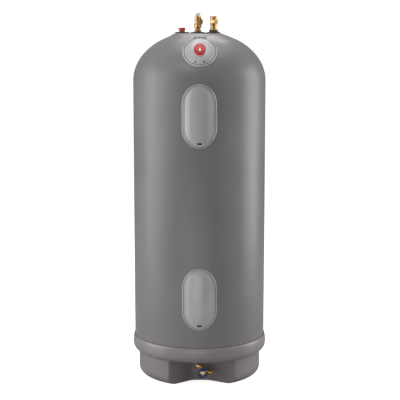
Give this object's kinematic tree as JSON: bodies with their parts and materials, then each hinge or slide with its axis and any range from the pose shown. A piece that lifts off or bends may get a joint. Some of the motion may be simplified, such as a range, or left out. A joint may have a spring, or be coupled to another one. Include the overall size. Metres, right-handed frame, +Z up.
{
  "type": "tank water heater",
  "caption": "Tall domed electric storage water heater on a moulded base, with access covers, a junction cover, brass fittings on top and a drain valve in a recess.",
  "frame": {"origin": "on the floor, on the tank's vertical axis", "axes": "+Z up along the tank; the covers and the drain valve face -Y; the hot outlet is on the -X side"},
  "size_m": [0.6016, 0.6016, 1.6218],
  "materials": {
    "jacket_plastic": "satin",
    "pedestal_plastic": "satin",
    "cover_plastic": "satin",
    "black_rubber": "matte",
    "foam": "matte",
    "liner_plastic": "satin",
    "fibreglass": "glossy",
    "brass": "machined",
    "dark_bushing": "matte",
    "steel": "brushed",
    "sheath": "satin",
    "red_plastic": "glossy",
    "blue_enamel": "glossy",
    "white_plastic": "satin",
    "black_plastic": "satin",
    "wire_black": "satin",
    "wire_red": "satin",
    "wire_green": "satin",
    "wire_blue": "satin",
    "wire_yellow": "satin"
  },
  "bodies": {
    "heater": {"outer_jacket": "jacket_plastic", "base_pedestal": "pedestal_plastic", "foam_insulation": "foam", "tank_winding": "fibreglass", "tank_liner": "liner_plastic", "hot_port_insert": "brass", "relief_port_insert": "brass", "cold_port_insert": "brass", "hot_port_grommet": "black_rubber", "relief_port_grommet": "black_rubber", "cold_port_grommet": "black_rubber", "hot_outlet_nipple": "brass", "relief_valve_body": "brass", "relief_bonnet": "brass", "relief_spring": "steel", "relief_probe": "white_plastic", "cold_inlet_bushing": "dark_bushing", "cold_inlet_body": "brass", "cold_check_spring": "steel", "dip_tube": "white_plastic", "conduit_plug": "black_plastic", "junction_box": "black_plastic", "junction_cover": "cover_plastic", "junction_screw_left": "black_plastic", "junction_screw_right": "black_plastic", "cover_badge": "red_plastic", "upper_access_well": "white_plastic", "lower_access_well": "white_plastic", "upper_element_port": "brass", "lower_element_port": "brass", "upper_heating_element": "sheath", "lower_heating_element": "sheath", "upper_thermostat": "black_plastic", "lower_thermostat": "black_plastic", "upper_thermostat_bracket": "steel", "lower_thermostat_bracket": "steel", "high_limit_switch": "black_plastic", "line_wire_black": "wire_black", "line_wire_red": "wire_red", "ground_wire": "wire_green", "lower_wire_blue": "wire_blue", "lower_wire_yellow": "wire_yellow", "drain_pipe": "liner_plastic", "drain_elbow": "brass", "drain_valve_body": "brass", "drain_packing_nut": "brass"},
    "upper_cover": {"upper_access_cover": "cover_plastic"},
    "lower_cover": {"lower_access_cover": "cover_plastic"},
    "upper_dial": {"upper_thermostat_dial": "white_plastic"},
    "lower_dial": {"lower_thermostat_dial": "white_plastic"},
    "reset": {"reset_button": "red_plastic"},
    "relief_rod": {"relief_stem": "steel", "relief_lever_pin": "steel"},
    "relief_handle": {"relief_lever": "steel"},
    "drain_disc": {"drain_seat_washer": "black_rubber"},
    "drain_wheel": {"drain_handwheel": "blue_enamel", "drain_stem": "brass", "drain_wheel_nut": "brass"},
    "hot_cap": {"hot_outlet_cap": "red_plastic"},
    "check_disc": {"cold_check_poppet": "white_plastic"}
  },
  "joints": [
    {"name": "upper_cover_pull", "type": "slide", "parent": "heater", "child": "upper_cover", "axis": [0, -1, 0], "range_m": [0, 0.15]},
    {"name": "lower_cover_pull", "type": "slide", "parent": "heater", "child": "lower_cover", "axis": [0, -1, 0], "range_m": [0, 0.15]},
    {"name": "upper_dial_turn", "type": "hinge", "parent": "heater", "child": "upper_dial", "pos_m": [0.011, -0.252, 1.2053], "axis": [0, 1, 0], "range_deg": [-135, 135]},
    {"name": "lower_dial_turn", "type": "hinge", "parent": "heater", "child": "lower_dial", "pos_m": [0.011, -0.252, 0.413], "axis": [0, 1, 0], "range_deg": [-135, 135]},
    {"name": "reset_press", "type": "slide", "parent": "heater", "child": "reset", "axis": [0, 1, 0], "range_m": [0, 0.002], "stiffness_N_per_m": 60, "springref_m": -0.004},
    {"name": "relief_rod_lift", "type": "slide", "parent": "heater", "child": "relief_rod", "axis": [0, 0, 1], "range_m": [0, 0.0041], "deforming": ["relief_spring"]},
    {"name": "relief_lever_lift", "type": "hinge", "parent": "relief_rod", "child": "relief_handle", "pos_m": [-0.007, 0, 1.6168], "axis": [0, -1, 0], "range_deg": [0, 80], "stiffness_Nm_per_rad": 0.03, "springref_deg": -28.65},
    {"name": "drain_disc_lift", "type": "slide", "parent": "heater", "child": "drain_disc", "axis": [0, -1, 0], "range_m": [0, 0.004]},
    {"name": "drain_wheel_turn", "type": "hinge", "parent": "drain_disc", "child": "drain_wheel", "pos_m": [0.015, -0.24, 0.0585], "axis": [0, -1, 0], "range_deg": [0, 720]},
    {"name": "hot_cap_pull", "type": "slide", "parent": "heater", "child": "hot_cap", "axis": [0, 0, 1], "range_m": [0, 0.04]},
    {"name": "check_disc_open", "type": "slide", "parent": "heater", "child": "check_disc", "axis": [0, 0, -1], "range_m": [0, 0.005], "stiffness_N_per_m": 60, "springref_m": -0.006, "deforming": ["cold_check_spring"]}
  ],
  "couplings": [
    {"joint": "relief_rod_lift", "follows": "relief_lever_lift", "m_per_rad": 0.0028648},
    {"joint": "drain_disc_lift", "follows": "drain_wheel_turn", "m_per_rad": 0.000318}
  ]
}
